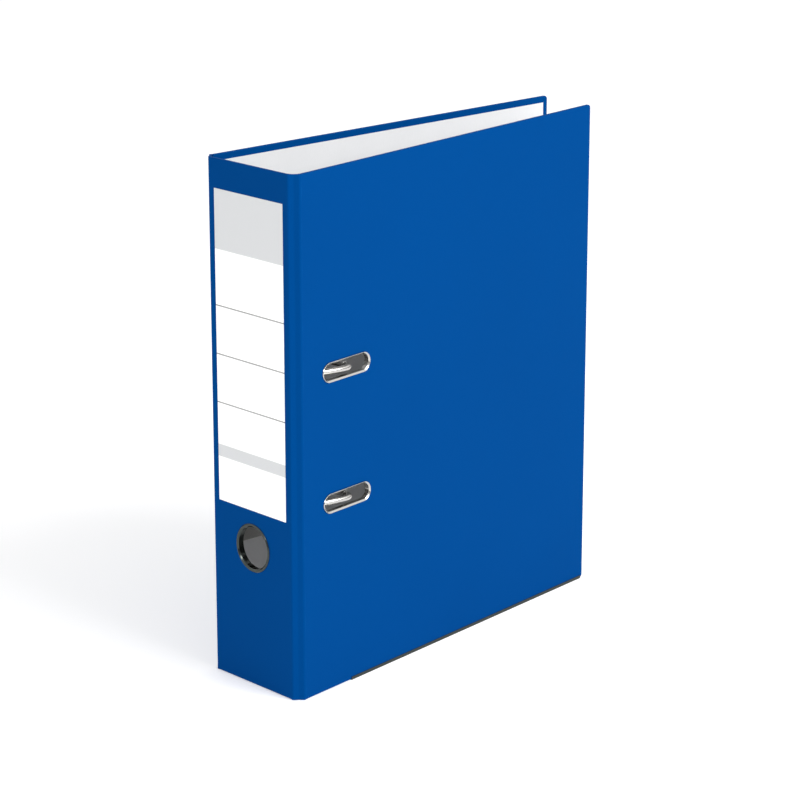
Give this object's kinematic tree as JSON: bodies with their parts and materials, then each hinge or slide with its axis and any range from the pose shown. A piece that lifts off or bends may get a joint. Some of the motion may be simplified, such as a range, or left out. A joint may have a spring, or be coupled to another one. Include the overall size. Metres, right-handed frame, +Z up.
{
  "type": "lever arch file",
  "caption": "A4 lever arch file: hinged board covers and spine with a finger hole, and a riveted lever mechanism whose two arches close onto two posts.",
  "frame": {"origin": "on the surface that the file stands on, under the middle of its footprint when it is closed", "axes": "+Z up along the height of the covers; -Y is the face of the spine and +Y the open fore edge; +X is the front cover with the eyelets, -X the back cover with the mechanism"},
  "size_m": [0.08, 0.2858, 0.318],
  "materials": {
    "blue_film": "blue embossed polypropylene film, semi-matte",
    "white_liner": "smooth white lining paper",
    "greyboard": "raw greyboard",
    "label_paper": "white label paper with grey bands and ruled lines",
    "nickel": "bright nickel-plated steel",
    "dark_nickel": "dark nickel-plated steel"
  },
  "bodies": {
    "back_cover": {"back_cover_film": "blue_film", "back_cover_board": "greyboard", "back_cover_liner": "white_liner", "back_crease_cover_side": "blue_film", "back_edge_rail": "dark_nickel", "base_plate": "nickel", "post_lower": "nickel", "post_upper": "nickel", "rivet_1": "nickel", "rivet_2": "nickel", "rivet_3": "nickel", "rivet_4": "nickel", "lever_pin": "nickel"},
    "spine": {"spine_film": "blue_film", "spine_board": "greyboard", "spine_liner": "white_liner", "back_crease_spine_side": "blue_film", "front_crease_spine_side": "blue_film", "spine_label": "label_paper", "finger_ring": "dark_nickel", "finger_ring_washer": "dark_nickel"},
    "front_cover": {"front_cover_film": "blue_film", "front_cover_board": "greyboard", "front_cover_liner": "white_liner", "front_crease_cover_side": "blue_film", "front_edge_rail": "dark_nickel", "eyelet_lower": "nickel", "eyelet_upper": "nickel"},
    "arches": {"arch_wire": "nickel"},
    "lever": {"lever": "nickel", "lever_roller_pin": "nickel"},
    "roller": {"lever_roller": "nickel"},
    "compressor": {"compressor_bar": "nickel"}
  },
  "joints": [
    {"name": "spine_hinge", "type": "hinge", "parent": "back_cover", "child": "spine", "pos_m": [-0.03749, -0.14043, 0.1592], "axis": [0, 0, -1], "range_deg": [0, 90]},
    {"name": "front_hinge", "type": "hinge", "parent": "spine", "child": "front_cover", "pos_m": [0.03855, -0.14015, 0.1592], "axis": [0, 0, -1], "range_deg": [0, 97.5]},
    {"name": "arch_pivot", "type": "hinge", "parent": "back_cover", "child": "arches", "pos_m": [-0.03329, -0.12812, 0.1558], "axis": [0, 0, -1], "range_deg": [0, 56]},
    {"name": "lever_pivot", "type": "hinge", "parent": "back_cover", "child": "lever", "pos_m": [-0.02769, -0.12312, 0.1558], "axis": [0, 0, -1], "range_deg": [0, 70]},
    {"name": "roller_spin", "type": "hinge", "parent": "lever", "child": "roller", "pos_m": [-0.0225, -0.12612, 0.1558], "axis": [0, 0, 1], "continuous": true},
    {"name": "compressor_slide", "type": "slide", "parent": "back_cover", "child": "compressor", "axis": [1, 0, 0], "range_m": [0, 0.05]}
  ],
  "couplings": [
    {"joint": "lever_pivot", "follows": "spine_hinge", "ratio": 0.7777},
    {"joint": "arch_pivot", "follows": "spine_hinge", "ratio": 0.6222}
  ]
}
